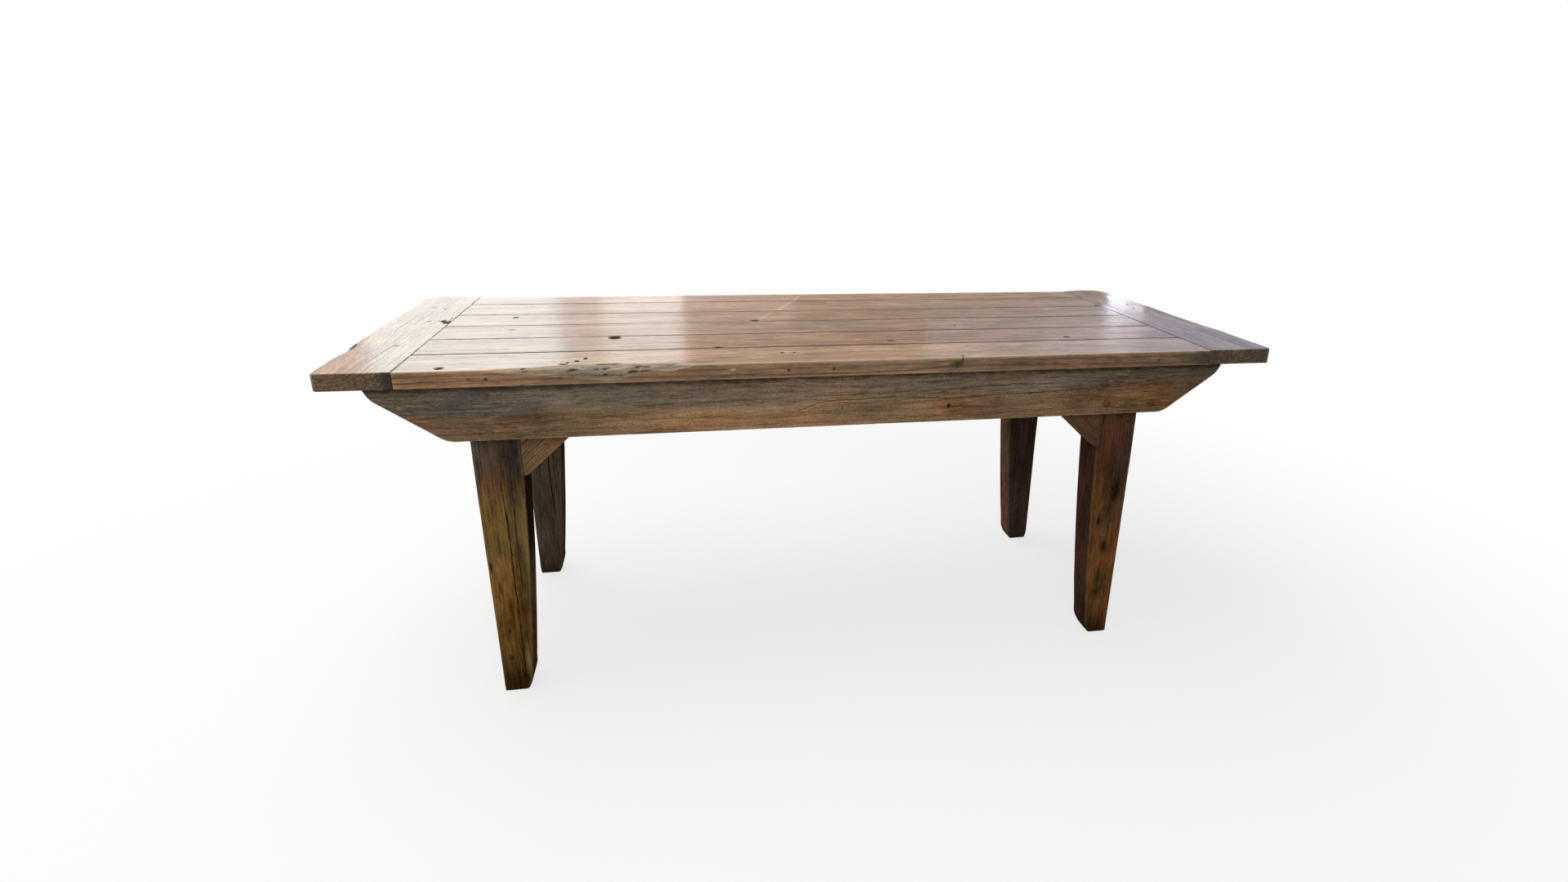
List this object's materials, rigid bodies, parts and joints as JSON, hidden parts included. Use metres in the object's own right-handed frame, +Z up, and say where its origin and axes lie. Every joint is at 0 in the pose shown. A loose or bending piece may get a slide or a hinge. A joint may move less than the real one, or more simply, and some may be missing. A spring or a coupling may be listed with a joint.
{
  "type": "farmhouse table",
  "caption": "Rustic pine dining table with a plank top, breadboard ends, slant-ended side rails, tapered legs and knee braces.",
  "frame": {"origin": "on the floor under the middle of the table's outline", "axes": "+X along the table to the right, +Y from the front edge to the back edge, +Z up"},
  "size_m": [1.9724, 0.801, 0.762],
  "materials": {
    "top_pine": "waxed old pine with a soft shine, worn edges, knots and nail holes",
    "end_pine": "waxed old pine, cross-grain end boards, worn edges",
    "rail_pine": "dark stained old pine, golden along the lower edge",
    "leg_pine": "dark stained old pine, rubbed lighter towards the feet, cracked along the grain",
    "inner_pine": "plain sawn pine, dry and unstained",
    "peg_wood": "dark hardwood peg, end grain showing",
    "nail_iron": "dull dark iron",
    "screw_steel": "dull steel"
  },
  "bodies": {
    "root": {"batten_left": "inner_pine", "batten_middle": "inner_pine", "batten_right": "inner_pine", "batten_screws": "screw_steel", "brace_nails": "nail_iron", "breadboard_end_left": "end_pine", "breadboard_end_right": "end_pine", "breadboard_pegs_left": "peg_wood", "breadboard_pegs_right": "peg_wood", "button_screws": "screw_steel", "end_rail_left": "inner_pine", "end_rail_right": "inner_pine", "knee_brace_back_left": "leg_pine", "knee_brace_back_right": "leg_pine", "knee_brace_front_left": "leg_pine", "knee_brace_front_right": "leg_pine", "leg_back_left": "leg_pine", "leg_back_right": "leg_pine", "leg_front_left": "leg_pine", "leg_front_right": "leg_pine", "rail_pegs_back": "peg_wood", "rail_pegs_front": "peg_wood", "side_rail_back": "rail_pine", "side_rail_front": "rail_pine", "tenon_pegs": "peg_wood", "top_board_1": "top_pine", "top_board_2": "top_pine", "top_board_3": "top_pine", "top_board_4": "top_pine", "top_board_5": "top_pine", "top_board_6": "top_pine", "top_buttons_back": "inner_pine", "top_buttons_front": "inner_pine"}
  },
  "joints": []
}
